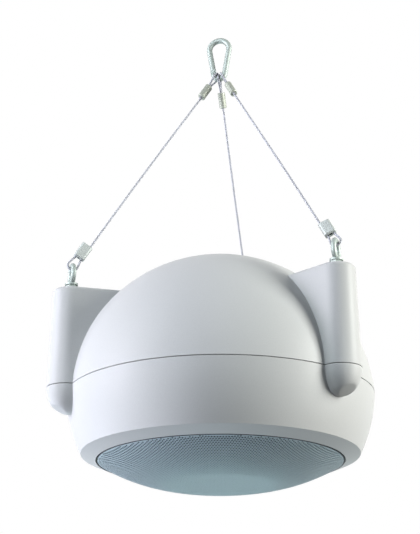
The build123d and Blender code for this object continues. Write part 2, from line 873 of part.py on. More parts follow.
def gate():
    """The hinged side of the hook: a round bar, forked at the hinge and slotted at the latch."""
    hinge, top = on_gate_leg(gate_hinge_rise), on_gate_leg(gate_top_rise)
    bar = extrude(Plane(origin=hinge, z_dir=leg_up) * Circle(hook_bar / 2), (top - hinge).length)
    eye_plane = Plane(origin=hinge, z_dir=(0, 1, 0))
    bar += extrude(eye_plane * Circle(hook_bar / 2), gate_cheek / 2, both=True)
    slot_width = gate_tongue + 2 * gate_side_gap
    fork_plane = Plane(origin=hinge, x_dir=leg_up, z_dir=(0, 1, 0))
    fork = extrude(fork_plane * Circle(hook_bar / 2 + 2 * gate_side_gap), slot_width / 2, both=True)
    latch_low, latch_high = gate_top_rise - gate_overlap - hook_bar / 2, gate_top_rise + gate_tip
    latch_middle = on_gate_leg((latch_low + latch_high) / 2)
    latch_plane = Plane(origin=latch_middle, x_dir=leg_up, z_dir=(0, 1, 0))
    latch_length = latch_high - latch_low
    latch = extrude(latch_plane * Rectangle(latch_length, 2 * hook_bar), slot_width / 2, both=True)
    hole = extrude(eye_plane * Circle(gate_pin_diameter / 2 + fit_gap), hook_bar, both=True)
    recess = Circle(gate_pin_head / 2 + seat_gap)
    half = gate_cheek / 2
    recesses = [extrude(eye_plane.offset(side * half) * recess, side * hook_bar) for side in (-1, 1)]
    return cut(bar, [fork, latch, hole, *recesses])


def gate_pin():
    plane = Plane(origin=on_gate_leg(gate_hinge_rise), z_dir=(0, 1, 0))
    half = gate_cheek / 2
    pin = extrude(plane * Circle(gate_pin_diameter / 2), half, both=True)
    head = Circle(gate_pin_head / 2)
    rise = gate_pin_head_height
    return fused(pin, [extrude(plane.offset(side * half) * head, side * rise) for side in (-1, 1)])


def hooked(shape):
    return Rot(0, 0, hook_turn) * shape


# Wire ropes


def square_to(direction, near):
    """The unit vector square to a direction that lies nearest to another."""
    return (near - direction * near.dot(direction)).normalized()


def eye_corners(centre, along, across, radius, neck, spacing):
    """The four corners of a rope eye that closes on a neck, with the strands spacing apart."""
    half = spacing / 2
    reach = math.hypot(half, neck)
    lean = math.asin(radius / reach) - math.atan2(half, neck)
    side = half + (neck + radius) * math.tan(lean)
    return [
        centre + along * neck - across * half,
        centre - along * radius - across * side,
        centre - along * radius + across * side,
        centre + along * neck + across * half,
    ]


class RopeRoute:
    """One rope's route: an eye on the snap hook's foot, a straight run, and an eye in an eyebolt's ring."""

    def __init__(self, angle, turn, spread):
        foot = math.radians(spread)
        on_foot = foot_centre + Vector(math.sin(foot), 0, -math.cos(foot)) * foot_radius
        hook_normal = Vector(0, 1, 0).rotate(Axis.Z, hook_turn)
        on_bar = on_foot.rotate(Axis.Z, hook_turn)
        lift = eye_lift * abs(math.sin(foot))
        ring_way = Vector(math.cos(math.radians(turn)), math.sin(math.radians(turn)), 0)
        centre = ring_centre(angle)
        up = (on_bar - centre).normalized()
        lean = math.atan2(up.dot(ring_way), up.Z)
        ring_radius = (ring_diameter - ring_bar) / 2
        bar = centre + (ring_way * math.sin(lean) + Vector(0, 0, math.cos(lean))) * ring_radius
        bar_way = ring_way * math.cos(lean) - Vector(0, 0, math.sin(lean))
        inward = Vector(-1, 0, 0).rotate(Axis.Z, angle)
        self.strand = rope_diameter + rope_gap
        self.hook_radius = (hook_bar + rope_diameter) / 2 + rope_gap + eye_slack
        for _ in range(4):
            self.across_hook = square_to(up, hook_normal)
            self.across_ring = square_to(up, up.cross(bar_way))
            if self.across_ring.dot(inward) < 0:
                self.across_ring = self.across_ring * -1
            contact = (ring_bar + rope_diameter) / 2 + rope_gap
            self.ring_eye = bar + up * (thimble_radius - contact)
            self.hook_eye = on_bar - up * (eye_slack - lift)
            high = self.hook_eye + self.across_hook * (self.strand / 2)
            low = self.ring_eye + self.across_ring * (grip_channel_spacing / 2)
            up = (high - low).normalized()
        self.up = up
        self.grip_face = self.ring_eye + up * (grip_standoff - thimble_radius + contact)

    def points(self):
        """The route's corners, from the tail in the ferrule to the tail in the grip."""
        up = self.up
        top = eye_corners(
            self.hook_eye, up * -1, self.across_hook, self.hook_radius, eye_neck, self.strand
        )
        neck = grip_standoff - thimble_radius + rope_diameter
        ring = eye_corners(
            self.ring_eye, up, self.across_ring * -1, thimble_radius, neck, grip_channel_spacing
        )
        tail_top = top[0] - up * (ferrule_length + rope_diameter)
        tail_low = ring[3] + up * (grip_length - rope_diameter)
        return [tail_top, *top, *ring, tail_low]

    def radii(self):
        hook_turn_radius = self.hook_radius * 0.96
        ring_turn_radius = thimble_radius * 0.96
        return [
            neck_radius,
            hook_turn_radius,
            hook_turn_radius,
            neck_radius,
            neck_radius,
            ring_turn_radius,
            ring_turn_radius,
            neck_radius,
        ]


def rope(route):
    path = FilletPolyline(*route.points(), radius=route.radii())
    start = Plane(origin=path @ 0, z_dir=path % 0)
    return sweep(start * Circle(rope_diameter / 2), path=path), path.length


def ferrule(route):
    """An oval sleeve pressed on the two strands below the hook's eye."""
    centre = route.hook_eye - route.up * eye_neck
    plane = Plane(origin=centre, x_dir=route.across_hook, z_dir=route.up * -1)
    hole = SlotOverall(2 * rope_diameter + rope_gap + 2 * seat_gap, rope_diameter + 2 * seat_gap)
    sleeve = extrude(plane * SlotOverall(ferrule_width, ferrule_thickness), ferrule_length)
    sleeve = chamfer(sleeve.edges().group_by(Axis(centre, route.up))[0], edge_break)
    return sleeve - extrude(plane * hole, ferrule_length)


def grip(route):
    """A two-channel wire grip: a rounded block with a bore for the rope and one for its tail."""
    plane = Plane(origin=route.grip_face, x_dir=route.across_ring, z_dir=route.up)
    section = RectangleRounded(grip_width, grip_thickness, grip_thickness * 0.3)
    block = extrude(plane * section, grip_length)
    block = chamfer(block.edges().group_by(Axis(route.grip_face, route.up))[0], edge_break)
    half = grip_channel_spacing / 2
    bore = Circle(rope_diameter / 2 + seat_gap)
    cuts = [extrude(plane * Pos(side * half, 0) * bore, grip_length) for side in (-1, 1)]
    cuts += [extrude(plane * Circle(grip_recess_diameter / 2), grip_recess_depth)]
    return cut(block, cuts)


def grille_seal():
    """The foam ring that holds the grille's rim in its recess."""
    outer = 2 * (bezel_inner_radius - seat_gap)
    low = -bezel_inner_drop + seal_recess
    return disc(outer, low, -baffle_drop - seat_gap, bore=2 * (grille_radius + fit_gap))


def housing_screws():
    one = screw(housing_screw_diameter, housing_screw_length)
    return group(around(Pos(post_radius, 0, -housing_screw_depth) * one, post_angles))


def frame_screws():
    bridge_front = -bridge_drop - bridge_thickness
    high = screw(small_screw_diameter, small_screw_length)
    high = Pos(screw_circle_radius, 0, flange_front) * high
    low = screw(small_screw_diameter, small_screw_length + flange_front - bridge_front)
    low = Pos(screw_circle_radius, 0, bridge_front) * low
    plain = [a for a in frame_screw_angles() if a % 180]
    return group(around(high, plain) + around(low, [0, 180]))


def inner_screws():
    """The screws of the crossover board and of the transformer's bracket, heads up."""
    flip = Rot(180, 0, 0)
    board = flip * screw(small_screw_diameter, board_standoff)
    board_level = baffle_top + board_standoff + board_thickness
    foot = flip * screw(small_screw_diameter, baffle_thickness)
    places = [place * Pos(0, 0, board_level) * board for place in board_corners()]
    places += [place * Pos(0, 0, baffle_top + bracket_sheet) * foot for place in bracket_feet()]
    return group(places)


os.makedirs("parts", exist_ok=True)
to_origin = Pos(0, 0, -hang_rise)


def save(name, shape):
    export_step(to_origin * shape, f"parts/{name}.step")


rim_top = -baffle_drop - seat_gap
save("upper_housing", upper_housing())
save("lower_housing", fused(lower_housing(), core_base()))
save("seam_gasket", seam_gasket())
save("grille", pressed_sheet(0, grille_sheet, rim_top))
save("grille_cloth", pressed_sheet(grille_sheet + fit_gap, cloth_thickness, rim_top - wall))
save("grille_seal", grille_seal())
save("housing_screws", housing_screws())
save("frame_screws", frame_screws())
save("inner_screws", inner_screws())
save("woofer_frame", driver_frame())
save("woofer_gasket", woofer_gasket())
save("woofer_surround", woofer_surround())
save("woofer_cone", woofer_cone())
save("woofer_spider", woofer_spider())
save("voice_coil", voice_coil())
save("dust_cap", dust_cap())
save("top_plate", disc(plate_diameter, -plate_seat_drop, top_plate_back, bore=plate_bore))
save("magnet", disc(magnet_diameter, top_plate_back, magnet_back, bore=magnet_bore))
save("yoke", yoke())
save("tweeter_bridge", tweeter_bridge())
save("tweeter_body", tweeter_body())
save("tweeter_dome", tweeter_dome())
save("port_tube", port_tube())
save("transformer_core", transformer_core())
save("transformer_coil", transformer_coil())
save("transformer_bracket", transformer_bracket())
save("crossover_board", crossover_board())
save("inductor", inductor())
save("capacitors", capacitors())
save("resistor", resistor())
save("terminal_block", terminal_block())
save("inlet_grommet", inlet_grommet())
save("arm_nuts", arm_nuts())
save("arm_washers", arm_washers())
save("snap_hook", hooked(hook_body()))
save("hook_gate", hooked(gate()))
save("gate_pin", hooked(gate_pin()))
spreads = [eye_spread, 0, -eye_spread]
for name, angle, turn, spread in zip(arm_names, arm_angles, ring_turns, spreads):
    route = RopeRoute(angle, turn, spread)
    wire_rope, length = rope(route)
    save(f"eyebolt_{name}", eyebolt(angle, turn))
    save(f"wire_rope_{name}", wire_rope)
    save(f"ferrule_{name}", ferrule(route))
    save(f"cable_grip_{name}", grip(route))
    print(name, "rope length", round(length, 1))
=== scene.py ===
"""The looks of the pendant speaker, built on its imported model. Metres, +Z up, origin at the hang point."""

import bmesh
import bpy
import numpy as np
from mathutils import Matrix, Vector


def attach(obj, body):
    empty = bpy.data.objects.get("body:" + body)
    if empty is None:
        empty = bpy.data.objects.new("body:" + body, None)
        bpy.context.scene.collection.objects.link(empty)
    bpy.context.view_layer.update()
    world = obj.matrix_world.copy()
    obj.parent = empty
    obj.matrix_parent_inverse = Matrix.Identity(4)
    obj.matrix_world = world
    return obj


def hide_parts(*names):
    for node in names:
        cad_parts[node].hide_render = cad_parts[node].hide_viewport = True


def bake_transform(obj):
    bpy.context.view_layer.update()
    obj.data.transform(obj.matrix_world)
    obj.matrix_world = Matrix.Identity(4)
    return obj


SEAM_LEVEL = -0.533

# Points nearer than this are merged, and edges sharper than these angles in degrees stay crisp
SAME_POINT = 2e-6
EDGE_ANGLE = 28.0
STRAND_EDGE_ANGLE = 50.0

# Camera, as the photograph was taken
CAMERA_PLACE = (0.0, -1.560963, SEAM_LEVEL - 0.412939)
CAMERA_RIGHT = (0.99996, 0.00863, 0.0)
CAMERA_UP = (0.00308, -0.35720, 0.93402)
FOCAL_PIXELS = 1232.196
IMAGE_HEIGHT = 534

# Studio
FLOOR_LEVEL = SEAM_LEVEL - 3.2
FLOOR_RADIUS = 9.0
FLOOR_PALENESS = 0.66
LAMP_DISTANCE = 2.2
LAMP_WIDTH, LAMP_HEIGHT = 0.7, 1.6

# Each soft box: its name, azimuth and elevation in degrees, watts and colour
SOFT_BOXES = (
    ("right_light", 75, 12, 76.9, (0.99, 1.0, 0.95)),
    ("left_light", -75, 12, 45.5, (0.935, 0.895, 1.0)),
    ("left_front_light", -30, 12, 21.5, (0.83, 0.93, 1.0)),
    ("left_high_light", -60, 35, 15.7, (0.885, 0.975, 1.0)),
    ("left_low_light", -105, -35, 45.4, (0.82, 0.875, 1.0)),
    ("back_low_light", 180, -35, 14.5, (0.63, 1.0, 0.99)),
)

# Grille
GRILLE_EDGE = 0.1574
GRILLE_EDGE_LEVEL = SEAM_LEVEL - 0.0836
DISC_RADIUS = 0.0725
DISC_LEVEL = SEAM_LEVEL - 0.1131
DISC_EDGE_SOFTNESS = 0.00015
SKIRT_BULGE = 0.0041
SHEET = 0.001
HOLE_PITCH = 0.0034
HOLE_RADIUS = 0.00142
HOLE_EDGE = 0.0003
PLAIN_RIM = 0.0006
RIM_LAP = 0.0001
RIM_BEND = 0.0002
RIM_TOP = SEAM_LEVEL - 0.0722
TURNS = 192

# Wire ropes, and the steps of the strands' mesh along and around
ROPE_RADIUS = 0.0015
STRAND_COUNT = 6
STRAND_LAY = 0.021
STATION_STEP = 0.0009
ROPE_AROUND = 36

# How a rope's sections are told apart: their points' spread, least distance and least number of corners
SAME_SECTION = 1e-4
KNOT_SPACING = 2e-4
SECTION_CORNERS = 24

# Zinc-plated pieces and the body that carries each
PLATED_NODES = (
    ("snap_hook", "root"),
    ("hook_gate", "gate"),
    ("gate_pin", "gate"),
    ("arm_nuts", "root"),
    ("arm_washers", "root"),
)
ARM_NAMES = ("right", "back", "left")


def node_tree(name):
    """A new material, its node tree, the tree's principled shader and a maker of further nodes."""
    material = bpy.data.materials.new(name)
    material.use_nodes = True
    tree = material.node_tree
    shader = tree.nodes["Principled BSDF"]

    def add(kind, **values):
        node = tree.nodes.new(kind)
        for key, value in values.items():
            if hasattr(node, key):
                setattr(node, key, value)
            else:
                node.inputs[key.replace("_", " ")].default_value = value
        return node

    return material, tree, shader, add


def grain(tree, add, scale, detail, strength, distance, shader):
    """A bump from noise on Object coordinates, finer with a larger scale. Returns the noise's own output."""
    place = add("ShaderNodeTexCoord")
    noise = add("ShaderNodeTexNoise", Scale=scale, Detail=detail)
    bump = add("ShaderNodeBump", Strength=strength, Distance=distance)
    tree.links.new(place.outputs["Object"], noise.inputs["Vector"])
    tree.links.new(noise.outputs["Fac"], bump.inputs["Height"])
    tree.links.new(bump.outputs["Normal"], shader.inputs["Normal"])
    return noise.outputs["Fac"]


def shaded(tree, add, factor, low, high, shader, socket="Base Color"):
    """A colour or a value between low and high, led by a 0 to 1 factor."""
    ramp = add("ShaderNodeValToRGB")
    ramp.color_ramp.elements[0].position = 0.3
    ramp.color_ramp.elements[1].position = 0.7
    ramp.color_ramp.elements[0].color = low
    ramp.color_ramp.elements[1].color = high
    tree.links.new(factor, ramp.inputs["Fac"])
    tree.links.new(ramp.outputs["Color"], shader.inputs[socket])


def grey(value):
    """An opaque grey."""
    return (value, value, value, 1.0)


def moulded_plastic():
    """Satin light-grey plastic with a fine moulded grain and a faint unevenness in its gloss."""
    material, tree, shader, add = node_tree("housing_plastic")
    fine = grain(tree, add, 900.0, 3.0, 0.08, 0.0004, shader)
    shaded(tree, add, fine, (0.49, 0.495, 0.495, 1), (0.52, 0.525, 0.525, 1), shader)
    place = add("ShaderNodeTexCoord")
    cloud = add("ShaderNodeTexNoise", Scale=14.0, Detail=2.0)
    tree.links.new(place.outputs["Object"], cloud.inputs["Vector"])
    shaded(tree, add, cloud.outputs["Fac"], grey(0.40), grey(0.48), shader, "Roughness")
    shader.inputs["Specular IOR Level"].default_value = 0.2
    return material


def painted_sheet():
    """Powder paint on the grille's sheet: a slight orange-peel bump and a blue-grey tone."""
    material, tree, shader, add = node_tree("grille_paint")
    peel = grain(tree, add, 500.0, 2.0, 0.1, 0.0003, shader)
    shaded(tree, add, peel, (0.315, 0.40, 0.443, 1), (0.345, 0.432, 0.476, 1), shader)
    shader.inputs["Roughness"].default_value = 0.5
    return material


def black_cloth():
    """Open acoustic cloth: a fine square weave in near black."""
    material, tree, shader, add = node_tree("acoustic_cloth")
    place = add("ShaderNodeTexCoord")
    weave = add("ShaderNodeTexVoronoi", Scale=900.0)
    tree.links.new(place.outputs["Object"], weave.inputs["Vector"])
    shaded(tree, add, weave.outputs["Distance"], grey(0.006), grey(0.02), shader)
    shader.inputs["Roughness"].default_value = 0.95
    return material


def zinc_plate(name, tone, roughness):
    """Dull zinc: a base tone with faint clouds, only part metallic so that it stays soft in the light."""
    material, tree, shader, add = node_tree(name)
    cloud = grain(tree, add, 260.0, 2.0, 0.02, 0.0003, shader)
    low = tuple(0.94 * part for part in tone) + (1.0,)
    shaded(tree, add, cloud, low, tone + (1.0,), shader)
    shader.inputs["Metallic"].default_value = 0.4
    shader.inputs["Roughness"].default_value = roughness
    return material


def rubber(name, tone):
    """Matte rubber or foam with a fine grain, a little lighter and darker about its tone."""
    material, tree, shader, add = node_tree(name)
    fine = grain(tree, add, 1200.0, 2.0, 0.2, 0.0002, shader)
    shaded(tree, add, fine, grey(tone * 0.8), grey(tone * 1.2), shader)
    shader.inputs["Roughness"].default_value = 0.75
    return material


def plain_finish(name, colour, roughness, metallic=0.0, scale=300.0):
    """A fine-grained finish for the inner pieces, a little lighter and darker about its colour."""
    material, tree, shader, add = node_tree(name)
    fine = grain(tree, add, scale, 3.0, 0.15, 0.0003, shader)
    low = tuple(0.85 * c for c in colour) + (1.0,)
    high = tuple(min(1.0, 1.1 * c) for c in colour) + (1.0,)
    shaded(tree, add, fine, low, high, shader)
    shader.inputs["Roughness"].default_value = roughness
    shader.inputs["Metallic"].default_value = metallic
    return material


def dress(piece, material):
    """Gives a piece one material in place of what it had."""
    piece.data.materials.clear()
    piece.data.materials.append(material)
    return piece


def smooth_copy(node, material, body="root"):
    """A merged copy of a node, its shading rounded up to the edge angle. Without a body it rides on none."""
    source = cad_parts[node]
    mesh = source.data.copy()
    welded = bmesh.new()
    welded.from_mesh(mesh)
    bmesh.ops.remove_doubles(welded, verts=welded.verts, dist=SAME_POINT)
    welded.to_mesh(mesh)
    welded.free()
    if "custom_normal" in mesh.attributes:
        mesh.attributes.remove(mesh.attributes["custom_normal"])
    mesh.shade_smooth()
    mesh.set_sharp_from_angle(angle=np.radians(EDGE_ANGLE))
    piece = bpy.data.objects.new(node + "_finished", mesh)
    bpy.context.scene.collection.objects.link(piece)
    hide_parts(node)
    if body:
        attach(piece, body)
    return dress(piece, material)


def flexing_ring(node, material):
    """A merged, smooth copy of a soft ring between the basket and the cone, on no body.

    Its points are laid out at their radius from Z while its transform is baked in, and are then put back as
    they were."""
    piece = smooth_copy(node, material, body=None)
    points = np.empty(len(piece.data.vertices) * 3)
    piece.data.vertices.foreach_get("co", points)
    radius = np.linalg.norm(points.reshape(-1, 3)[:, :2], axis=1)
    laid_out = np.zeros((len(radius), 3))
    laid_out[:, 0] = radius
    piece.data.vertices.foreach_set("co", laid_out.ravel())
    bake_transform(piece)
    piece.data.vertices.foreach_set("co", points)
    piece.data.update()


def mesh_piece(name, points, faces, material, smooth=True):
    """A new piece on the root body from its points and faces."""
    mesh = bpy.data.meshes.new(name)
    mesh.from_pydata(points, [], faces)
    mesh.polygons.foreach_set("use_smooth", np.full(len(mesh.polygons), smooth))
    mesh.update()
    piece = bpy.data.objects.new(name, mesh)
    bpy.context.scene.collection.objects.link(piece)
    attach(piece, "root")
    return dress(piece, material)


def grille_level(radius):
    """The front of the sheet at a radius: the higher of the flat disc and the skirt's arc, softly joined.

    The arc is a circle through the disc's edge and the rim that stands the bulge out from their chord."""
    start = np.array([DISC_RADIUS, DISC_LEVEL])
    end = np.array([GRILLE_EDGE, GRILLE_EDGE_LEVEL])
    chord = end - start
    half = np.hypot(*chord) / 2
    arc_radius = (half**2 + SKIRT_BULGE**2) / (2 * SKIRT_BULGE)
    inward = np.array([-chord[1], chord[0]]) / (2 * half)
    centre = (start + end) / 2 + inward * (arc_radius - SKIRT_BULGE)
    arc = centre[1] - np.sqrt(np.maximum(arc_radius**2 - (radius - centre[0]) ** 2, 0))
    arc = np.where(radius < centre[0], centre[1] - arc_radius, arc)
    middle = (arc + DISC_LEVEL) / 2
    return middle + np.hypot((arc - DISC_LEVEL) / 2, DISC_EDGE_SOFTNESS)


def grille_holes():
    """A staggered field of six-sided holes in the dished sheet.

    Each cell is a hexagon about a point of a triangular lattice. Six faces join it to its hole, and six more
    go through the sheet. Corners beyond the plain rim are drawn in to its circle, and a cell with no
    room for its hole there stays closed. Heights follow the sheet's front at each point's own radius."""
    row = HOLE_PITCH * np.sqrt(3) / 2
    reach = int(GRILLE_EDGE / row) + 2
    i, j = np.meshgrid(np.arange(-reach, reach + 1), np.arange(-reach, reach + 1))
    x = (i + 0.5 * (j % 2)) * HOLE_PITCH
    y = j * row
    angle = np.radians(30 + 60 * np.arange(6))
    spoke = np.stack([np.cos(angle), np.sin(angle)], axis=-1)
    border = GRILLE_EDGE - PLAIN_RIM
    centres = np.stack([x.ravel(), y.ravel()], axis=-1)
    cell = centres[:, None] + spoke * HOLE_PITCH / np.sqrt(3)
    radius = np.linalg.norm(cell, axis=-1)
    kept = radius.min(axis=1) < border - HOLE_EDGE
    centres, cell, radius = centres[kept], cell[kept], radius[kept]
    cell = cell * np.minimum(1, border / radius)[..., None]
    room = border - HOLE_RADIUS - HOLE_EDGE
    pierced = np.linalg.norm(centres, axis=-1) < room
    closed = cell[~pierced]
    closed_level = grille_level(np.linalg.norm(closed, axis=-1))
    closed = np.concatenate([closed, closed_level[..., None]], axis=-1).reshape(-1, 3)
    centres, cell = centres[pierced], cell[pierced]
    hole = centres[:, None] + spoke * HOLE_RADIUS
    level = grille_level(np.hypot(cell[..., 0], cell[..., 1]))
    hole_level = grille_level(np.hypot(hole[..., 0], hole[..., 1]))
    front = np.concatenate([cell, level[..., None]], axis=-1)
    edge = np.concatenate([hole, hole_level[..., None]], axis=-1)
    back = edge + np.array([0, 0, SHEET])
    points = np.stack([front, edge, back], axis=1).reshape(-1, 3)
    base = (np.arange(len(centres)) * 18)[:, None]
    here = np.arange(6)
    after = (here + 1) % 6
    ring = np.stack([base + here, base + 6 + here, base + 6 + after, base + after], axis=-1)
    tube = np.stack([base + 6 + here, base + 12 + here, base + 12 + after, base + 6 + after], axis=-1)
    faces = np.concatenate([ring.reshape(-1, 4), tube.reshape(-1, 4)]).tolist()
    plain = len(points) + np.arange(len(closed)).reshape(-1, 6)
    return np.concatenate([points, closed]).tolist(), faces + plain.tolist()


def turned_surface(name, outline, material):
    """A surface of revolution: each (radius, height) of the closed outline carried round Z in equal steps."""
    outline = np.asarray(outline, float)
    angle = np.linspace(0, 2 * np.pi, TURNS, endpoint=False)
    x = outline[:, 0][None] * np.cos(angle)[:, None]
    y = outline[:, 0][None] * np.sin(angle)[:, None]
    z = np.broadcast_to(outline[:, 1][None], x.shape)
    points = np.stack([x, y, z], axis=-1).reshape(-1, 3)
    count = len(outline)
    i, j = np.meshgrid(np.arange(TURNS), np.arange(count), indexing="ij")
    after, next_j = (i + 1) % TURNS * count, (j + 1) % count
    faces = np.stack([i * count + j, after + j, after + next_j, i * count + next_j], axis=-1)
    return mesh_piece(name, points, faces.reshape(-1, 4), material)


def make_grille(paint, shade):
    """The perforated sheet and its rim. The rim's near-black colour is painted shade: it stands in for the
    shadow of its turned edge beside the gap.
    """
    points, faces = grille_holes()
    sheet = mesh_piece("grille_perforated", points, faces, paint, smooth=False)
    welded = bmesh.new()
    welded.from_mesh(sheet.data)
    bmesh.ops.remove_doubles(welded, verts=welded.verts, dist=SAME_POINT / 2)
    welded.to_mesh(sheet.data)
    welded.free()
    radii = np.linspace(GRILLE_EDGE - PLAIN_RIM - RIM_LAP, GRILLE_EDGE - RIM_BEND - RIM_LAP, 4)
    front = np.stack([radii, grille_level(radii) - RIM_LAP / 2], axis=-1)
    bend = [[GRILLE_EDGE - RIM_BEND, GRILLE_EDGE_LEVEL + RIM_BEND], [GRILLE_EDGE, GRILLE_EDGE_LEVEL + SHEET]]
    top = [[GRILLE_EDGE, RIM_TOP], [GRILLE_EDGE - SHEET, RIM_TOP]]
    behind = front[::-1] + np.array([-RIM_BEND, SHEET])
    rim = turned_surface("grille_rim", np.concatenate([front, bend, top, behind]), shade)
    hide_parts("grille")
    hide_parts("grille")


def rope_knots(node):
    """Points on a rope's middle line, in order, and the line's own direction at each.

    A point is a corner of the rope's round skin, moved in by the rope's radius along its normal. All corners
    of one section meet there. The direction is the one square to all their normals. The order is the distance
    from one end, counted along the sides of the mesh's triangles."""
    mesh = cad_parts[node].data
    vertex = np.empty(len(mesh.loops), dtype=int)
    mesh.loops.foreach_get("vertex_index", vertex)
    points = np.empty(len(mesh.vertices) * 3)
    mesh.vertices.foreach_get("co", points)
    normal = np.empty(len(vertex) * 3, dtype=np.float32)
    mesh.corner_normals.foreach_get("vector", normal)
    normal = normal.reshape(-1, 3, 3).astype(float)
    corner = points.reshape(-1, 3)[vertex].reshape(-1, 3, 3)
    flat = np.cross(corner[:, 1] - corner[:, 0], corner[:, 2] - corner[:, 0])
    flat /= np.linalg.norm(flat, axis=1, keepdims=True)
    on_end = np.einsum("fcx,fx->fc", normal, flat).min(axis=1) > 0.9995
    middle = (corner - ROPE_RADIUS * normal)[~on_end].reshape(-1, 3)
    normal = normal[~on_end].reshape(-1, 3)
    label = np.full(len(middle), -1)
    centres, ways = [], []
    while (label < 0).any():
        away = np.linalg.norm(middle - middle[np.argmax(label < 0)], axis=1)
        near = (away < SAME_SECTION) & (label < 0)
        label[near] = len(centres)
        centres.append(middle[near].mean(axis=0))
        ways.append(np.linalg.svd(normal[near])[2][-1])
    centres, ways = np.array(centres), np.array(ways)
    triangles = label.reshape(-1, 3)
    first, second = triangles.T.ravel(), np.roll(triangles, -1, axis=1).T.ravel()
    side = np.linalg.norm(centres[first] - centres[second], axis=1)
    distance = np.full(len(centres), np.inf)
    end = corner[on_end][0].mean(axis=0)
    distance[np.argmin(np.linalg.norm(centres - end, axis=1))] = 0
    before = np.zeros(len(centres))
    while not np.array_equal(before, distance):
        before = distance.copy()
        np.minimum.at(distance, first, distance[second] + side)
        np.minimum.at(distance, second, distance[first] + side)
    full = np.bincount(label) >= SECTION_CORNERS
    order = np.argsort(distance[full])
    knots, ways = centres[full][order], ways[full][order]
    apart = np.append(True, np.linalg.norm(np.diff(knots, axis=0), axis=1) > KNOT_SPACING)
    knots, ways = knots[apart], ways[apart]
    ahead = np.diff(knots, axis=0, append=knots[-1:] * 2 - knots[-2:-1])
    return knots, ways * np.sign(np.einsum("nx,nx->n", ways, ahead))[:, None]


def rope_stations(knots, ways):
    """Even stations on the cubic through the knots that leaves each knot along the line's own direction."""
    chord = np.linalg.norm(np.diff(knots, axis=0), axis=1)
    steps = np.maximum(1, np.round(chord / STATION_STEP).astype(int))
    span = np.repeat(np.arange(len(steps)), steps)
    first_of_span = np.repeat(np.cumsum(steps) - steps, steps)
    t = ((np.arange(len(span)) - first_of_span) / steps[span])[:, None]
    start, end = knots[span], knots[span + 1]
    leave, arrive = ways[span] * chord[span, None], ways[span + 1] * chord[span, None]
    place = (
        (2 * t**3 - 3 * t**2 + 1) * start
        + (t**3 - 2 * t**2 + t) * leave
        + (3 * t**2 - 2 * t**3) * end
        + (t**3 - t**2) * arrive
    )
    return np.concatenate([place, knots[-1:]])


def stranded_rope(node, material):
    """Six round strands wound about the rope's middle line, as one skin carried along it.

    The section's radius at an angle from the nearest strand's middle is that of a circle of a third of the
    rope's radius, set two thirds out: d cos(angle) + sqrt(r^2 - d^2 sin(angle)^2). It turns once in each lay,
    on a frame that is carried along the line without turning of its own."""
    place = rope_stations(*rope_knots(node))
    way = np.gradient(place, axis=0)
    way /= np.linalg.norm(way, axis=1, keepdims=True)
    across = np.empty_like(place)
    side = np.cross(way[0], (0.0, 0.0, 1.0))
    for i, forward in enumerate(way):
        side = side - forward * np.dot(side, forward)
        side = side / np.linalg.norm(side)
        across[i] = side
    other = np.cross(way, across)
    along = np.append(0, np.cumsum(np.linalg.norm(np.diff(place, axis=0), axis=1)))
    angle = 2 * np.pi * np.arange(ROPE_AROUND) / ROPE_AROUND
    strand_turn = 2 * np.pi / STRAND_COUNT
    off = (angle + strand_turn / 2) % strand_turn - strand_turn / 2
    strand, out = ROPE_RADIUS / 3, ROPE_RADIUS * 2 / 3
    reach = out * np.cos(off) + np.sqrt(np.maximum(strand**2 - (out * np.sin(off)) ** 2, 0))
    turned = angle[None] + 2 * np.pi * along[:, None] / STRAND_LAY
    round_it = np.cos(turned)[..., None] * across[:, None] + np.sin(turned)[..., None] * other[:, None]
    points = place[:, None] + reach[None, :, None] * round_it
    i, j = np.meshgrid(np.arange(len(place) - 1), np.arange(ROPE_AROUND), indexing="ij")
    base, after = i * ROPE_AROUND, (j + 1) % ROPE_AROUND
    here, beside = base + j, base + after
    faces = np.stack([here, beside, beside + ROPE_AROUND, here + ROPE_AROUND], axis=-1)
    ring = np.arange(ROPE_AROUND)
    ends = [ring[::-1].tolist(), (ring + (len(place) - 1) * ROPE_AROUND).tolist()]
    faces = faces.reshape(-1, 4).tolist() + ends
    piece = mesh_piece(node + "_stranded", points.reshape(-1, 3).tolist(), faces, material)
    piece.data.set_sharp_from_angle(angle=np.radians(STRAND_EDGE_ANGLE))
    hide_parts(node)


def make_camera():
    """The photograph's camera, from its place, its right and up directions and its focal length in pixels."""
    right, up = Vector(CAMERA_RIGHT), Vector(CAMERA_UP)
    back = right.cross(up)
    lens = bpy.data.cameras.new("photo_camera")
    lens.sensor_width = 36
    lens.lens = FOCAL_PIXELS / IMAGE_HEIGHT * 36
    lens.clip_end = 50
    camera = bpy.data.objects.new("photo_camera", lens)
    camera.matrix_world = Matrix.Translation(CAMERA_PLACE) @ Matrix((right, up, back)).transposed().to_4x4()
    bpy.context.scene.collection.objects.link(camera)
    bpy.context.scene.camera = camera


def soft_light(name, azimuth, elevation, power, colour):
    """A soft box aimed at the seam's middle. Azimuth 0 is the camera's side, and 90 is to its right."""
    turn, rise = np.radians(azimuth), np.radians(elevation)
    way = Vector((np.sin(turn) * np.cos(rise), -np.cos(turn) * np.cos(rise), np.sin(rise)))
    lamp = bpy.data.lights.new(name, "AREA")
    lamp.shape = "RECTANGLE"
    lamp.size, lamp.size_y = LAMP_WIDTH, LAMP_HEIGHT
    lamp.energy = power
    lamp.color = colour
    light = bpy.data.objects.new(name, lamp)
    place = Vector((0, 0, SEAM_LEVEL)) + way * LAMP_DISTANCE
    aim = (-way).to_track_quat("-Z", "Y").to_matrix().to_4x4()
    light.matrix_world = Matrix.Translation(place) @ aim
    bpy.context.scene.collection.objects.link(light)


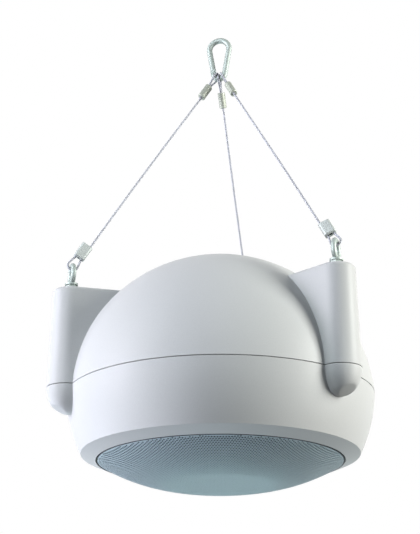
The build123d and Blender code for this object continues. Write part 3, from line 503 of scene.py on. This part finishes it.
def seen_directly(nodes, links):
    """1 for rays that show the surroundings, in the camera, a shine or a clear piece, and 0 for the rest."""
    path = nodes.new("ShaderNodeLightPath")
    total = path.outputs["Is Camera Ray"]
    for ray in ("Is Glossy Ray", "Is Transmission Ray"):
        either = nodes.new("ShaderNodeMath")
        either.operation = "MAXIMUM"
        links.new(total, either.inputs[0])
        links.new(path.outputs[ray], either.inputs[1])
        total = either.outputs[0]
    return total


def make_studio():
    """Soft boxes, a white surround that gives no light of its own, and a pale floor well below."""
    for soft_box in SOFT_BOXES:
        soft_light(*soft_box)
    world = bpy.data.worlds.new("studio")
    bpy.context.scene.world = world
    world.use_nodes = True
    nodes, links = world.node_tree.nodes, world.node_tree.links
    fill = nodes["Background"]
    fill.inputs["Strength"].default_value = 0.0
    white = nodes.new("ShaderNodeBackground")
    white.inputs["Color"].default_value = (1, 1, 1, 1)
    both = nodes.new("ShaderNodeMixShader")
    links.new(seen_directly(nodes, links), both.inputs["Fac"])
    links.new(fill.outputs[0], both.inputs[1])
    links.new(white.outputs[0], both.inputs[2])
    links.new(both.outputs[0], nodes["World Output"].inputs["Surface"])
    middle = (0, 0, FLOOR_LEVEL)
    bpy.ops.mesh.primitive_circle_add(vertices=96, radius=FLOOR_RADIUS, fill_type="NGON", location=middle)
    floor = bpy.context.object
    floor.name = "studio_floor"
    material, tree, shader, add = node_tree("pale_floor")
    seen = seen_directly(tree.nodes, tree.links)
    tones = (("Base Color", 0.12, 0.9), ("Emission Strength", 0.0, FLOOR_PALENESS))
    for socket, hidden, shown in tones:
        tone = add("ShaderNodeMapRange")
        tone.inputs["To Min"].default_value = hidden
        tone.inputs["To Max"].default_value = shown
        tree.links.new(seen, tone.inputs["Value"])
        tree.links.new(tone.outputs["Result"], shader.inputs[socket])
    shader.inputs["Emission Color"].default_value = (1, 1, 1, 1)
    shader.inputs["Roughness"].default_value = 0.9
    dress(floor, material)


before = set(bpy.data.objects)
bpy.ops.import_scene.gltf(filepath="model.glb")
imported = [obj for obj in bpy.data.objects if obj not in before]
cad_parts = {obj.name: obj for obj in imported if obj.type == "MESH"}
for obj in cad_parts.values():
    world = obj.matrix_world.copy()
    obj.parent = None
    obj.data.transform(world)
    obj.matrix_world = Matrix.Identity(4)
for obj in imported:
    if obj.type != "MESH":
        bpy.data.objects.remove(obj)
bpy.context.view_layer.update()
bpy.context.scene.view_settings.view_transform = "Standard"
make_camera()
make_studio()

plastic = moulded_plastic()
plate = zinc_plate("zinc_plate", (0.37, 0.42, 0.395), 0.5)
cast = zinc_plate("cast_grip", (0.46, 0.49, 0.475), 0.55)
pressed = zinc_plate("pressed_sleeve", (0.35, 0.37, 0.32), 0.55)
galvanised = zinc_plate("galvanised_wire", (0.45, 0.455, 0.495), 0.6)
cloth = black_cloth()
seal = rubber("seal_rubber", 0.02)
seam_rubber = rubber("seam_rubber", 0.14)

smooth_copy("upper_housing", plastic)
smooth_copy("lower_housing", plastic)
# The grille rim's near-black colour is painted shade, for the shadow in the gap between the grille and the
# bezel.
make_grille(painted_sheet(), plain_finish("rim_painted_shade", (0.03, 0.04, 0.05), 0.6))
for node, body in PLATED_NODES:
    smooth_copy(node, plate, body)
for arm in ARM_NAMES:
    smooth_copy("eyebolt_" + arm, plate)
    smooth_copy("ferrule_" + arm, pressed)
    smooth_copy("cable_grip_" + arm, cast)
    stranded_rope("wire_rope_" + arm, galvanised)
smooth_copy("inlet_grommet", seal)
flexing_ring("woofer_surround", rubber("surround_rubber", 0.02))
spider_weave = plain_finish("spider_weave", (0.45, 0.30, 0.12), 0.9, scale=1500.0)
flexing_ring("woofer_spider", spider_weave)

INNER = {
    "seam_gasket": seam_rubber,
    "grille_cloth": cloth,
    "grille_seal": rubber("seal_foam", 0.015),
    "woofer_gasket": rubber("gasket_foam", 0.02),
    "woofer_frame": plain_finish("basket_paint", (0.03, 0.03, 0.03), 0.5),
    "woofer_cone": plain_finish("cone_paper", (0.04, 0.04, 0.045), 0.8, scale=700.0),
    "dust_cap": plain_finish("cap_paper", (0.03, 0.03, 0.03), 0.6, scale=700.0),
    "voice_coil": plain_finish("coil_copper", (0.60, 0.25, 0.12), 0.35, 0.8),
    "top_plate": plain_finish("top_zinc", (0.55, 0.55, 0.52), 0.4, 1.0),
    "yoke": plain_finish("yoke_zinc", (0.55, 0.55, 0.52), 0.4, 1.0),
    "magnet": plain_finish("ferrite", (0.05, 0.05, 0.055), 0.6),
    "tweeter_bridge": plain_finish("bridge_plastic", (0.02, 0.02, 0.02), 0.5),
    "tweeter_body": plain_finish("tweeter_plastic", (0.02, 0.02, 0.02), 0.45),
    "tweeter_dome": plain_finish("tweeter_silk", (0.03, 0.03, 0.03), 0.7, scale=1200.0),
    "port_tube": plain_finish("port_plastic", (0.02, 0.02, 0.02), 0.55),
    "transformer_core": plain_finish("laminations", (0.20, 0.20, 0.22), 0.5, 0.8),
    "transformer_coil": plain_finish("coil_wrap", (0.55, 0.40, 0.12), 0.6),
    "transformer_bracket": plain_finish("bracket_zinc", (0.55, 0.55, 0.52), 0.4, 1.0),
    "crossover_board": plain_finish("board_lacquer", (0.04, 0.16, 0.07), 0.35),
    "inductor": plain_finish("inductor_copper", (0.60, 0.25, 0.12), 0.35, 0.8),
    "capacitors": plain_finish("capacitor_wrap", (0.65, 0.52, 0.20), 0.4),
    "resistor": plain_finish("resistor_ceramic", (0.75, 0.75, 0.72), 0.7),
    "terminal_block": plain_finish("terminal_plastic", (0.02, 0.05, 0.02), 0.5),
    "housing_screws": plain_finish("screw_zinc", (0.50, 0.50, 0.47), 0.35, 1.0),
    "frame_screws": plain_finish("screw_black", (0.03, 0.03, 0.03), 0.4, 0.6),
    "inner_screws": plain_finish("screw_plate", (0.50, 0.50, 0.47), 0.35, 1.0),
}
for node, material in INNER.items():
    dress(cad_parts[node], material)
